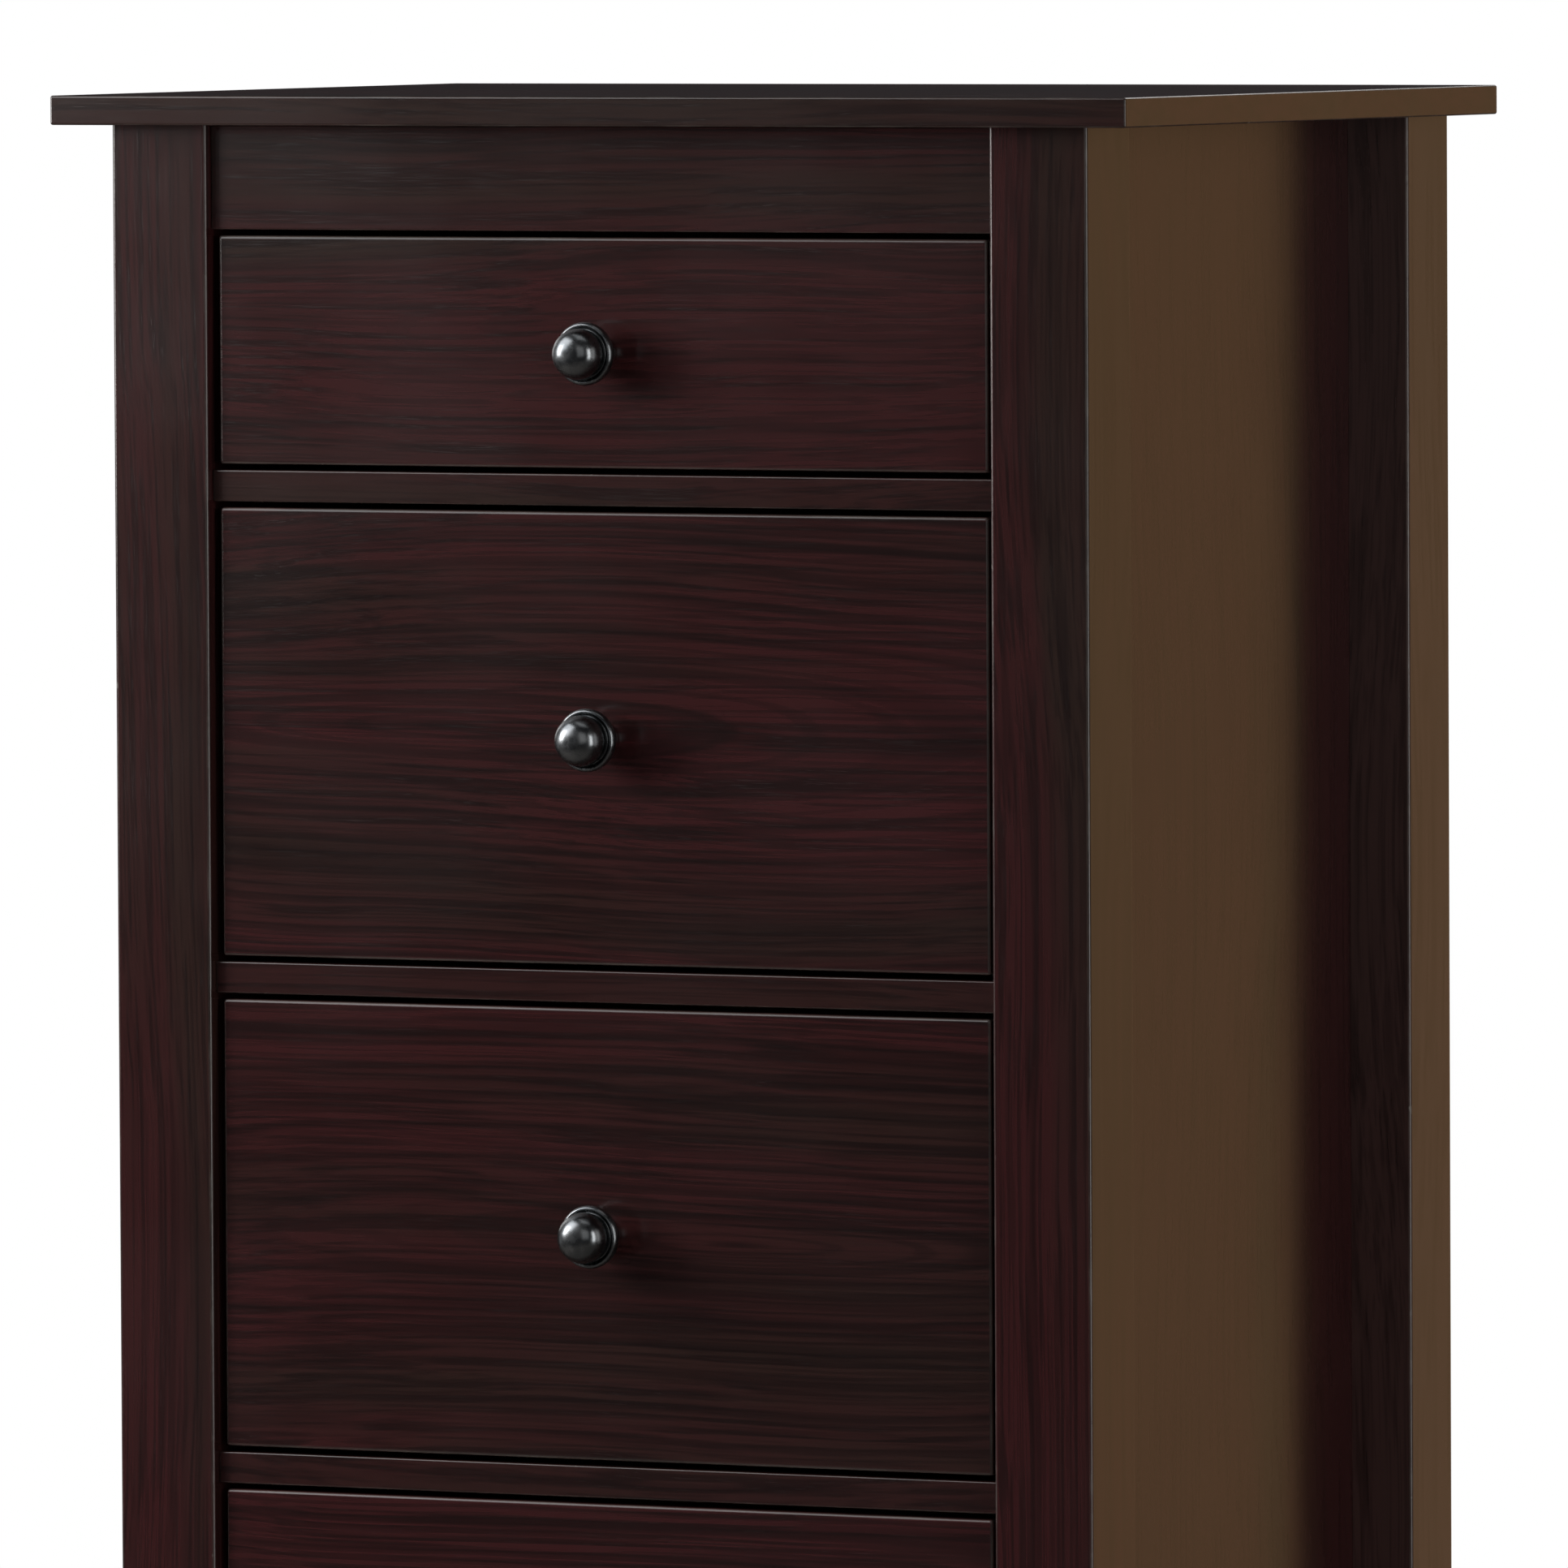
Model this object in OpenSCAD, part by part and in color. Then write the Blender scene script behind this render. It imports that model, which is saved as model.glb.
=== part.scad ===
// Tall narrow jewellery chest: a post-and-panel carcass with one shallow lined
// drawer above four deep drawers, each on a pair of grooved side runners.
// Millimetres. +Z is up, the drawers open towards -Y, and the origin is on the
// floor under the middle of the overall box.

/* [Carcass] */
// Width over the outer faces of the posts
body_w = 550; // [460:5:660]
// Depth from the front of the posts to the back of the posts
body_d = 430; // [360:5:520]
// Width of a post, seen from the front
post_w = 54; // [46:1:66]
// Depth of a post, seen from the side
post_d = 50; // [42:1:60]
// Radius of the long edges of the posts
post_round = 3; // [1:0.5:4]
// Thickness of the top, sides, bottom and upright rails
board_t = 15; // [12:0.5:19]
// How far the side panels are set in from the outer faces of the posts
panel_inset = 34; // [28:1:36]
// How deep the side panels sit in the grooves of the posts
panel_tongue = 8; // [6:1:12]
// Thickness of the hardboard back
back_t = 3; // [2.5:0.5:5]

/* [Top] */
// Overhang of the top past the posts on each side
top_overhang_side = 28; // [10:1:40]
// Overhang of the top past the front of the posts
top_overhang_front = 14; // [6:1:20]
// Chamfer round the edges of the top
top_chamfer = 1; // [0.5:0.5:3]

/* [Rails and feet] */
// Height of the rail under the top
top_rail_h = 53; // [46:1:80]
// Thickness of the rail between two drawers
divider_t = 16; // [15:1:22]
// Depth of the rail between two drawers, front to back
divider_d = 60; // [45:1:80]
// Height of the rail under the lowest drawer
bottom_rail_h = 45; // [40:1:70]
// Clear height under the lowest rail
foot_clearance = 42; // [30:1:80]
// Height of the glide under each post
glide_h = 4; // [3:0.5:8]
// Diameter of the glide under each post
glide_dia = 26; // [20:1:34]

/* [Drawers] */
// Height of the shallow drawer front
small_front_h = 116; // [98:1:160]
// Height of a deep drawer front
large_front_h = 228; // [150:1:260]
// Gap above and below a drawer front
front_gap = 3; // [1.5:0.5:5]
// Gap between a drawer front and a post
front_side_gap = 4; // [1.5:0.5:5]
// How far the drawer fronts and rails stand back from the posts
setback = 6; // [3:0.5:8]
// Thickness of a drawer front
front_t = 15; // [14:0.5:18]
// Thickness of the sides and back of a drawer
side_t = 12; // [11.5:0.5:14]
// Gap between the back of a closed drawer and the rear rail
behind_gap = 19; // [8:1:60]
// Height that a drawer front stands below its sides
front_below = 12; // [8:1:16]
// Height that a drawer front stands above its sides
front_above = 24; // [14:1:36]
// Thickness of a drawer bottom
bottom_t = 3; // [2.5:0.5:4]

/* [Runners] */
// Height of a runner
runner_h = 16; // [12:1:18]
// How far a runner reaches into its groove
runner_reach = 5.5; // [4:0.5:6]
// Gap between a drawer side and a post
box_gap = 5; // [2:0.5:6]

/* [Knobs] */
// Diameter of a knob over its rim
knob_dia = 32; // [28:1:38]
// Height of a knob over the drawer front
knob_h = 35; // [28:1:38]

/* [Jewellery drawer] */
// Compartments across the shallow drawer
cells_x = 4; // [2:1:6]
// Thickness of a divider
divider_board_t = 5; // [4:0.5:8]
// Height of the dividers
divider_board_h = 45; // [30:1:50]
// Thickness of the felt lining
felt_t = 1.5; // [1:0.5:2.5]

/* [Hidden] */
$fn = 48;
large_count = 4;    // deep drawers under the shallow one, as NODES lists them
drawer_count = large_count + 1;
drawer_parts = ["front", "side_left", "side_right", "back", "bottom", "knob", "fasteners"];

// Clearances
fit = 0.1;          // a board in its groove or between its neighbours, each side
hole_fit = 0.05;    // a screw or dowel in its hole, on the radius
ride = 0.3;         // between the top of a runner and the groove that hangs on it
slack = 0.7;        // under a runner, in its groove
stop_gap = 0.8;     // between a runner's front end and the blind end of its groove
cut = 1;            // how far a cutter runs past the face that it opens

// Stations across the width
post_in_x = body_w/2 - post_w;                   // inner face of a post
panel_out_x = body_w/2 - panel_inset;            // outer face of a side panel
panel_in_x = panel_out_x - board_t;              // inner face of a side panel
open_w = 2*post_in_x;                            // width between the posts
front_w = open_w - 2*front_side_gap;
box_out_x = post_in_x - box_gap;                 // outer face of a drawer side
box_in_x = box_out_x - side_t;                   // inner face of a drawer side

// Stations from front to back
front_reach = max(top_overhang_front, knob_h - setback);
post_front_y = (front_reach - body_d)/2;         // front of the posts
post_back_y = post_front_y + body_d;             // back of the posts
front_y = post_front_y + setback;                // face of the drawer fronts and rails
front_in_y = front_y + front_t;                  // back of a drawer front
runner_front_y = post_front_y + post_d + 1;
runner_back_y = post_back_y - post_d - 1;

// Levels, counted up from the floor
bottom_rail_z = foot_clearance;
function deep_front_z(k) = bottom_rail_z + bottom_rail_h + front_gap
    + k*(large_front_h + 2*front_gap + divider_t);
shallow_front_z = deep_front_z(large_count);
top_rail_z = shallow_front_z + small_front_h + front_gap;
body_h = top_rail_z + top_rail_h;                // underside of the top
// Drawer 1 is the shallow one at the top, and the last one is the lowest
function front_z(i) = deep_front_z(drawer_count - i);
function front_h(i) = i == 1 ? small_front_h : large_front_h;
function side_h(i) = front_h(i) - front_below - front_above;
function side_z(i) = front_z(i) + front_below;
function runner_z(i) = side_z(i) + side_h(i)/2;  // middle of a runner
function divider_z(i) = front_z(i) - front_gap - divider_t;   // rail under drawer i

// Drawer bottom groove, and the two heights where a drawer is fastened
groove_deep = 5;
groove_up = 8;
groove_h = bottom_t + 2*fit;
function bottom_z(i) = side_z(i) + groove_up;
function fixing_z(i) = [
    (bottom_z(i) + groove_h + runner_z(i) - runner_h/2 - slack)/2,
    (side_z(i) + side_h(i) + runner_z(i) + runner_h/2 + ride)/2
];
track_deep = runner_reach + 1.5;                 // depth of the runner groove

// Back boards and their joint strip
rebate_w = 10;
strip_skin = 1;
strip_h = 16;
strip_web = 1.5;
back_y = post_back_y - fit - strip_skin - fit - back_t;   // inner face of the back
rear_rail_y = back_y - fit - board_t;            // inner face of the rear rail
box_back_y = rear_rail_y - behind_gap;           // rear end of a drawer
back_low_z = bottom_rail_z;
back_mid_z = (back_low_z + body_h)/2;
back_half_w = post_in_x + rebate_w - fit;

// Hardware
dowel_r = 4;
dowel_len = 30;
screw_r = 1.75;
screw_len = 13;
head_r = 3.5;
head_h = 2;
web = 4;                                         // runner left under a screw head
bracket_leg = 16;
bracket_w = 20;
bracket_t = 1.5;
bracket_hole = 9;                                // hole from the bend of a bracket
cam_r = 7.5;
cam_h = 9;
cam_y = 24;                                      // cam from the front end of a side
bolt_r = 3;
bolt_deep = 11;
confirmat_r = 3;
confirmat_len = 42;
confirmat_head_r = 4.5;
confirmat_head_h = 3;
knob_bolt_r = 2;
knob_bolt_deep = 9;                              // thread inside a knob
knob_bolt_head_r = 4;
knob_bolt_head_h = 2.4;
glide_pin_r = 1.5;
glide_pin_len = 16;

// Jewellery drawer
felt_z = bottom_z(1) + fit + bottom_t;
divider_base_z = felt_z + felt_t;
inner_w = 2*box_in_x;
inner_front_y = front_in_y;
inner_back_y = box_back_y - side_t;
inner_d = inner_back_y - inner_front_y;
cell_w = (inner_w - (cells_x - 1)*divider_board_t)/cells_x;
cell_d = (inner_d - divider_board_t)/2;

// ---------- shared shapes ----------

// Outline of a bar of w by d from its low corner, with its four corners rounded
function rounded_outline(w, d, r) = [
    for (k = [0:3], a = [0:15:90])
        [(k == 0 || k == 3 ? w - r : r) + r*cos(90*k + a), (k < 2 ? d - r : r) + r*sin(90*k + a)]
];

// A box from its low corner to its high corner
module block(low, high) {
    translate(low) cube(high - low);
}

// A rod along X that starts at a point
module rod_x(from, len, r) {
    translate(from) rotate([0, 90, 0]) cylinder(h = len, r = r);
}

// A rod along Y that starts at a point
module rod_y(from, len, r) {
    translate(from) rotate([-90, 0, 0]) cylinder(h = len, r = r);
}

// Its children, and their mirror image across the middle of the chest
module both_sides() {
    children();
    mirror([1, 0, 0]) children();
}

// The plain stick of a right-hand post whose front is at y0
module post_stick(y0) {
    translate([post_in_x, y0, glide_h])
        linear_extrude(body_h - glide_h) polygon(rounded_outline(post_w, post_d, post_round));
}

// A pan-head screw along +X, its head seated at the point
module screw_x(at) {
    rod_x(at, screw_len, screw_r);
    rod_x(at - [head_h, 0, 0], head_h, head_r);
}

// ---------- dowels and screws of the carcass ----------

// [height, front-to-back place] of each dowel at an end of a rail that joins two posts
function upright_pair(z, h, y) = [[z + h/4, y], [z + 3*h/4, y]];
top_rail_dowels = upright_pair(top_rail_z, top_rail_h, front_y + board_t/2);
bottom_rail_dowels = upright_pair(bottom_rail_z, bottom_rail_h, front_y + board_t/2);
rear_rail_dowels = upright_pair(top_rail_z, top_rail_h, rear_rail_y + board_t/2);
dowel_room = post_d - panel_tongue - setback;    // post in front of the panel groove
divider_dowels = [for (i = [1:large_count], s = [0.25, 0.75])
    [divider_z(i) + divider_t/2, front_y + s*dowel_room]];
front_post_dowels = concat(top_rail_dowels, bottom_rail_dowels, divider_dowels);

// Dowels between the bottom panel and a side panel, from front to back
bottom_panel_z = bottom_rail_z + bottom_rail_h - board_t;
panel_dowel_deep = board_t*0.6;
panel_dowels = [for (s = [0.22, 0.5, 0.78])
    [bottom_panel_z + board_t/2, post_front_y + s*body_d]];

// Dowels across the right-hand inner face of the posts, or their holes when grow > 0
module dowels_right(places, x_mid, len, grow = 0) {
    for (p = places)
        rod_x([x_mid - len/2 - grow, p[1], p[0]], len + 2*grow, dowel_r + (grow > 0 ? hole_fit : 0));
}

module post_dowels_right(places, grow = 0) {
    dowels_right(places, post_in_x, dowel_len, grow);
}

module panel_dowels_right(grow = 0) {
    dowels_right(panel_dowels, panel_in_x + panel_dowel_deep - dowel_len/2, dowel_len, grow);
}

module rail_dowels() {
    color("burlywood") both_sides() {
        post_dowels_right(front_post_dowels);
        post_dowels_right(rear_rail_dowels);
        panel_dowels_right();
    }
}

// Where the runners are screwed to a side panel, from front to back
runner_screw_y = [for (s = [0.1, 0.5, 0.9])
    runner_front_y + s*(runner_back_y - runner_front_y)];
// Where the brackets hold the top, along X
bracket_x = open_w/4;

// Screws that hold the right-hand runners
module runner_screws_right() {
    for (i = [1:drawer_count], y = runner_screw_y)
        screw_x([panel_in_x - web, y, runner_z(i)]);
}

module runner_screw_holes_right() {
    for (i = [1:drawer_count], y = runner_screw_y)
        rod_x([panel_in_x - cut, y, runner_z(i)], screw_len - web + cut + fit, screw_r + hole_fit);
}

// One bracket at the origin: a foot under the top and a leg down the face at y = 0,
// with the bend along X and the room of the chest towards +Y
module bracket() {
    difference() {
        union() {
            block([-bracket_w/2, 0, -bracket_leg], [bracket_w/2, bracket_t, 0]);
            block([-bracket_w/2, 0, -bracket_t], [bracket_w/2, bracket_leg, 0]);
        }
        translate([0, bracket_hole, -bracket_t - cut])
            cylinder(h = bracket_t + 2*cut, r = screw_r + 2*hole_fit);
        rod_y([0, -cut, -bracket_hole], bracket_t + 2*cut, screw_r + 2*hole_fit);
    }
}

// Screws of one bracket, or their holes in the boards when grow > 0
module bracket_screws(grow = 0) {
    r = screw_r + (grow > 0 ? hole_fit : 0);
    translate([0, bracket_hole, -bracket_t]) {
        cylinder(h = screw_len + grow, r = r);
        translate([0, 0, -head_h]) cylinder(h = head_h, r = head_r);
    }
    rod_y([0, bracket_t - screw_len - grow, -bracket_hole], screw_len + grow, r);
    rod_y([0, bracket_t, -bracket_hole], head_h, head_r);
}

// Its children at each place where a bracket sits, turned to face into the chest
module at_brackets() {
    for (x = [-bracket_x, bracket_x]) {
        translate([x, front_y + board_t, body_h]) children();
        translate([x, rear_rail_y, body_h]) rotate([0, 0, 180]) children();
    }
}

module top_brackets() {
    color("silver") at_brackets() bracket();
}

module carcass_screws() {
    color("silver") {
        both_sides() runner_screws_right();
        at_brackets() bracket_screws();
    }
}

// ---------- carcass ----------

module top_panel() {
    x = body_w/2 + top_overhang_side;
    y0 = post_front_y - top_overhang_front;
    c = top_chamfer;
    color("#2e1a1a") difference() {
        block([-x, y0, body_h], [x, post_back_y, body_h + board_t]);
        // the chamfer of the upper and lower edges at the front and the sides
        for (z = [body_h, body_h + board_t]) {
            translate([0, y0, z]) rotate([45, 0, 0]) cube([2*x + 2*cut, c*sqrt(2), c*sqrt(2)], center = true);
            for (s = [-x, x])
                translate([s, 0, z]) rotate([0, 45, 0]) cube([c*sqrt(2), 2*body_d, c*sqrt(2)], center = true);
        }
        at_brackets() bracket_screws(fit);
    }
}

// Groove for the tongue of the right-hand side panel, cut into a post
module panel_groove_right(y0, y1) {
    block([panel_in_x - fit, y0, bottom_rail_z - fit], [panel_out_x + fit, y1, body_h + cut]);
}

module front_post_right() {
    color("#2e1a1a") difference() {
        post_stick(post_front_y);
        panel_groove_right(post_front_y + post_d - panel_tongue - fit, post_front_y + post_d + cut);
        post_dowels_right(front_post_dowels, fit);
        glide_pin_right(post_front_y + post_d/2, fit);
    }
}

module rear_post_right() {
    color("#2e1a1a") difference() {
        post_stick(post_back_y - post_d);
        panel_groove_right(post_back_y - post_d - cut, post_back_y - post_d + panel_tongue + fit);
        // rebate that takes the back boards
        block([post_in_x - cut, back_y - fit, back_low_z - fit],
              [post_in_x + rebate_w, post_back_y + cut, body_h + cut]);
        post_dowels_right(rear_rail_dowels, fit);
        glide_pin_right(post_back_y - post_d/2, fit);
    }
}

module side_panel_right() {
    color("#4a3729") difference() {
        block([panel_in_x, post_front_y + post_d - panel_tongue, bottom_rail_z],
              [panel_out_x, post_back_y - post_d + panel_tongue, body_h - fit]);
        runner_screw_holes_right();
        panel_dowels_right(fit);
    }
}

// A rail on edge between the posts, with its dowel holes
module upright_rail(y, z, h, places) {
    color("#2e1a1a") difference() {
        block([-post_in_x + fit, y, z], [post_in_x - fit, y + board_t, z + h]);
        both_sides() post_dowels_right(places, fit);
        at_brackets() bracket_screws(fit);
    }
}

module top_front_rail() {
    upright_rail(front_y, top_rail_z, top_rail_h - fit, top_rail_dowels);
}

module rear_top_rail() {
    upright_rail(rear_rail_y, top_rail_z, top_rail_h - fit, rear_rail_dowels);
}

module bottom_front_rail() {
    upright_rail(front_y, bottom_rail_z, bottom_rail_h, bottom_rail_dowels);
}

// The flat rail under drawer i
module drawer_rail(i) {
    color("#2e1a1a") difference() {
        block([-post_in_x + fit, front_y, divider_z(i)],
              [post_in_x - fit, front_y + divider_d, divider_z(i) + divider_t]);
        both_sides() post_dowels_right(divider_dowels, fit);
    }
}

module bottom_panel() {
    y0 = front_y + board_t + fit;
    y1 = back_y - fit;
    color("#2e1a1a") difference() {
        block([-panel_in_x + fit, y0, bottom_panel_z], [panel_in_x - fit, y1, bottom_panel_z + board_t]);
        both_sides() {
            block([post_in_x - fit, y0 - cut, 0], [body_w, post_front_y + post_d + fit, body_h]);
            block([post_in_x - fit, post_back_y - post_d - fit, 0], [body_w, y1 + cut, body_h]);
            panel_dowels_right(fit);
        }
    }
}

// One hardboard back between two levels
module back_board(z0, z1) {
    color("#5b4636") block([-back_half_w, back_y, z0], [back_half_w, back_y + back_t, z1]);
}

module back_panel_lower() {
    back_board(back_low_z, back_mid_z - strip_web/2 - fit);
}

module back_panel_upper() {
    back_board(back_mid_z + strip_web/2 + fit, body_h - fit);
}

// H-section strip that joins the two back boards
module back_joint_strip() {
    x = post_in_x - fit;
    color("#3a2a22") {
        block([-x, back_y - fit - strip_skin, back_mid_z - strip_h/2], [x, back_y - fit, back_mid_z + strip_h/2]);
        block([-x, back_y - fit, back_mid_z - strip_web/2], [x, back_y + back_t + fit, back_mid_z + strip_web/2]);
        block([-x, back_y + back_t + fit, back_mid_z - strip_h/2],
              [x, back_y + back_t + fit + strip_skin, back_mid_z + strip_h/2]);
    }
}

// Pin of the glide under a right-hand post, or its hole when grow > 0
module glide_pin_right(y, grow = 0) {
    translate([post_in_x + post_w/2, y, glide_h - (grow > 0 ? cut : 0)])
        cylinder(h = glide_pin_len + grow + (grow > 0 ? cut : 0), r = glide_pin_r + (grow > 0 ? hole_fit : 0));
}

module foot_glides() {
    color("#d8d4c8") both_sides()
        for (y = [post_front_y + post_d/2, post_back_y - post_d/2]) {
            translate([post_in_x + post_w/2, y, 0]) {
                cylinder(h = 1, r1 = glide_dia/2 - 1, r2 = glide_dia/2);
                translate([0, 0, 1]) cylinder(h = glide_h - 1, r = glide_dia/2);
            }
            glide_pin_right(y);
        }
}

// The runner of drawer i on the right-hand side
module runner_right(i) {
    x0 = box_out_x - runner_reach;
    difference() {
        block([x0, runner_front_y, runner_z(i) - runner_h/2],
              [panel_in_x, runner_back_y, runner_z(i) + runner_h/2]);
        for (y = runner_screw_y) {
            rod_x([x0 - cut, y, runner_z(i)], panel_in_x - x0 + 2*cut, screw_r + 2*hole_fit);
            rod_x([x0 - cut, y, runner_z(i)], panel_in_x - web - x0 + cut, head_r + 2*fit);
        }
    }
}

module drawer_runners() {
    color("#efece2") both_sides() for (i = [1:drawer_count]) runner_right(i);
}

// ---------- drawers ----------

// Cams and the bolts that end at them, at the right-hand front corner of drawer i,
// or their room when grow > 0
module cams_right(i, grow = 0) {
    r = grow > 0 ? hole_fit : 0;
    for (z = fixing_z(i)) {
        translate([box_in_x - (grow > 0 ? cut : 0), front_in_y + cam_y, z]) rotate([0, 90, 0])
            cylinder(h = cam_h + (grow > 0 ? cut + fit : 0), r = cam_r + r);
        rod_y([box_in_x + side_t/2, front_in_y - bolt_deep - grow, z],
              bolt_deep + grow + cam_y - cam_r - fit, bolt_r + r);
    }
}

// Screws at the right-hand rear corner of drawer i, or their holes when grow > 0
module confirmats_right(i, grow = 0) {
    r = grow > 0 ? hole_fit : 0;
    y = box_back_y - side_t/2;
    for (z = fixing_z(i)) {
        rod_x([box_out_x - confirmat_len - grow, y, z], confirmat_len + grow, confirmat_r + r);
        rod_x([box_out_x - confirmat_head_h - grow, y, z],
              confirmat_head_h + grow + (grow > 0 ? cut : 0), confirmat_head_r + r);
    }
}

// Bolt of the knob of drawer i with its sunk head, or its hole when grow > 0
module knob_bolt(i, grow = 0) {
    z = front_z(i) + front_h(i)/2;
    r = grow > 0 ? 4*hole_fit : 0;
    rod_y([0, front_y - knob_bolt_deep, z], knob_bolt_deep + front_t - knob_bolt_head_h, knob_bolt_r + r);
    rod_y([0, front_in_y - knob_bolt_head_h, z], knob_bolt_head_h + (grow > 0 ? cut : 0),
          knob_bolt_head_r + r);
}

// Room for the bottom board of drawer i
module bottom_groove(i) {
    block([-box_in_x - groove_deep, front_in_y - groove_deep, bottom_z(i)],
          [box_in_x + groove_deep, box_back_y + cut, bottom_z(i) + groove_h]);
}

module drawer_front(i) {
    color("#2e1a1a") difference() {
        block([-front_w/2, front_y, front_z(i)], [front_w/2, front_in_y, front_z(i) + front_h(i)]);
        bottom_groove(i);
        knob_bolt(i, fit);
        both_sides() cams_right(i, fit);
    }
}

// Side of drawer i with the groove that hangs on its runner
module drawer_side_right(i) {
    color("#c9b08a") difference() {
        block([box_in_x, front_in_y, side_z(i)], [box_out_x, box_back_y, side_z(i) + side_h(i)]);
        block([box_out_x - track_deep, runner_front_y - stop_gap, runner_z(i) - runner_h/2 - slack],
              [box_out_x + cut, box_back_y + cut, runner_z(i) + runner_h/2 + ride]);
        bottom_groove(i);
        cams_right(i, fit);
        confirmats_right(i, fit);
    }
}

module drawer_back(i) {
    color("#c9b08a") difference() {
        block([-box_in_x + fit, box_back_y - side_t, bottom_z(i) + groove_h],
              [box_in_x - fit, box_back_y, side_z(i) + side_h(i)]);
        both_sides() confirmats_right(i, fit);
    }
}

module drawer_bottom(i) {
    g = groove_deep - 2*fit;
    color("#a58a66") block([-box_in_x - g, front_in_y - g, bottom_z(i) + fit],
                           [box_in_x + g, box_back_y, bottom_z(i) + fit + bottom_t]);
}

// Profile of a knob: [radius, height over the drawer front]
rim_r = knob_dia/2;
dome_r = rim_r*0.81;
dome_z = knob_h*0.62;
knob_profile = concat(
    [[0, 0], [rim_r*0.55, 0], [rim_r*0.55, knob_h*0.05], [rim_r*0.38, knob_h*0.1],
     [rim_r*0.36, knob_h*0.22], [rim_r*0.7, knob_h*0.36]],
    [for (a = [-60:20:80]) [rim_r*0.88 + rim_r*0.12*cos(a), knob_h*0.48 + knob_h*0.08*sin(a)]],
    [for (a = [-20:10:80]) [dome_r*cos(a), dome_z + (knob_h - dome_z)*sin(a)]],
    [[0, knob_h]]
);

module drawer_knob(i) {
    z = front_z(i) + front_h(i)/2;
    color("#4c4c4e") difference() {
        translate([0, front_y, z]) rotate([90, 0, 0]) rotate_extrude() polygon(knob_profile);
        rod_y([0, front_y - knob_bolt_deep - fit, z], knob_bolt_deep + fit + cut, knob_bolt_r + hole_fit);
    }
}

module drawer_fasteners(i) {
    color("silver") {
        both_sides() {
            cams_right(i);
            confirmats_right(i);
        }
        knob_bolt(i);
    }
}

// Felt on the bottom of the shallow drawer
module drawer_1_felt() {
    color("#6e1420") block([-box_in_x + fit, inner_front_y + fit, felt_z],
                           [box_in_x - fit, inner_back_y - fit, felt_z + felt_t]);
}

// Dividers that stand on the felt: one across, and the short ones against it
module drawer_1_dividers() {
    mid_y = inner_front_y + cell_d;
    top_z = divider_base_z + divider_board_h;
    color("#6e1420") {
        block([-box_in_x + fit, mid_y, divider_base_z], [box_in_x - fit, mid_y + divider_board_t, top_z]);
        for (k = [1:cells_x - 1]) {
            x = -box_in_x + k*cell_w + (k - 1)*divider_board_t;
            block([x, inner_front_y + fit, divider_base_z], [x + divider_board_t, mid_y - fit, top_z]);
            block([x, mid_y + divider_board_t + fit, divider_base_z],
                  [x + divider_board_t, inner_back_y - fit, top_z]);
        }
    }
}

// One named piece of drawer i
module drawer_part(i, part) {
    if (part == "front") drawer_front(i);
    if (part == "side_left") mirror([1, 0, 0]) drawer_side_right(i);
    if (part == "side_right") drawer_side_right(i);
    if (part == "back") drawer_back(i);
    if (part == "bottom") drawer_bottom(i);
    if (part == "knob") drawer_knob(i);
    if (part == "fasteners") drawer_fasteners(i);
}

// ---------- nodes ----------

top_panel();
mirror([1, 0, 0]) front_post_right();  // front_post_left
front_post_right();
mirror([1, 0, 0]) rear_post_right();  // rear_post_left
rear_post_right();
mirror([1, 0, 0]) side_panel_right();  // side_panel_left
side_panel_right();
back_panel_upper();
back_panel_lower();
back_joint_strip();
top_front_rail();
for (i = [1:large_count])
    drawer_rail(i);
bottom_front_rail();
rear_top_rail();
bottom_panel();
drawer_runners();
top_brackets();
carcass_screws();
rail_dowels();
foot_glides();
for (i = [1:drawer_count], part = drawer_parts)
    drawer_part(i, part);
drawer_1_felt();
drawer_1_dividers();
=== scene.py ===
"""A tall narrow jewellery chest in dark espresso wood-grain laminate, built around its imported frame.

Metres, in the frame's own axes: +Z up, the drawers open towards -Y. The sections follow the chest as
it is put together: posts, panels, rails, top, hardware, drawers, knobs and lining, then the studio.
"""

import bpy
import numpy as np
from mathutils import Matrix, Vector


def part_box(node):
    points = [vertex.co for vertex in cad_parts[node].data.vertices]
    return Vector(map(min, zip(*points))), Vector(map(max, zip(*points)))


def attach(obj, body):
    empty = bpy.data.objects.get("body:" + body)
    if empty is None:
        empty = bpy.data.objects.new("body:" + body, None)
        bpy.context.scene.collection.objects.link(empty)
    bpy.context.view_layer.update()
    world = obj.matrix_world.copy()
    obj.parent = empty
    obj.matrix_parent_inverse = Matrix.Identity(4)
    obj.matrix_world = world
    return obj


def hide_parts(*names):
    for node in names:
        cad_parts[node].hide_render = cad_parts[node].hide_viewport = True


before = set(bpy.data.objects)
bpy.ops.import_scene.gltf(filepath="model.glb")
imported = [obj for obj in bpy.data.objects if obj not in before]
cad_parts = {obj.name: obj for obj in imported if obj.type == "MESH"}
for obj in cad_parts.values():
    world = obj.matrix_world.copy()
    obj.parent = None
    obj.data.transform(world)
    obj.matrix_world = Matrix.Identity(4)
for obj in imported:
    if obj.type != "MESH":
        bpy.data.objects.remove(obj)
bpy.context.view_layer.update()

# ---------------------------------------------------------------- corner posts
# Four square posts of particleboard wrapped in espresso foil, with their long edges softly rounded.
# Each has a groove for the side panel, and the rear ones a rebate for the back, as the frame has.

POST_EDGE = 0.0018      # radius of the long edges
PANEL_TONGUE = 0.0081   # depth of the groove that takes the side panel
GROOVE_PLAY = 0.0001    # clearance of a panel in its groove, each side
REBATE = 0.010          # width of the rebate that takes the back
ARC_STEPS = 7           # points round one eased corner


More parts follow.
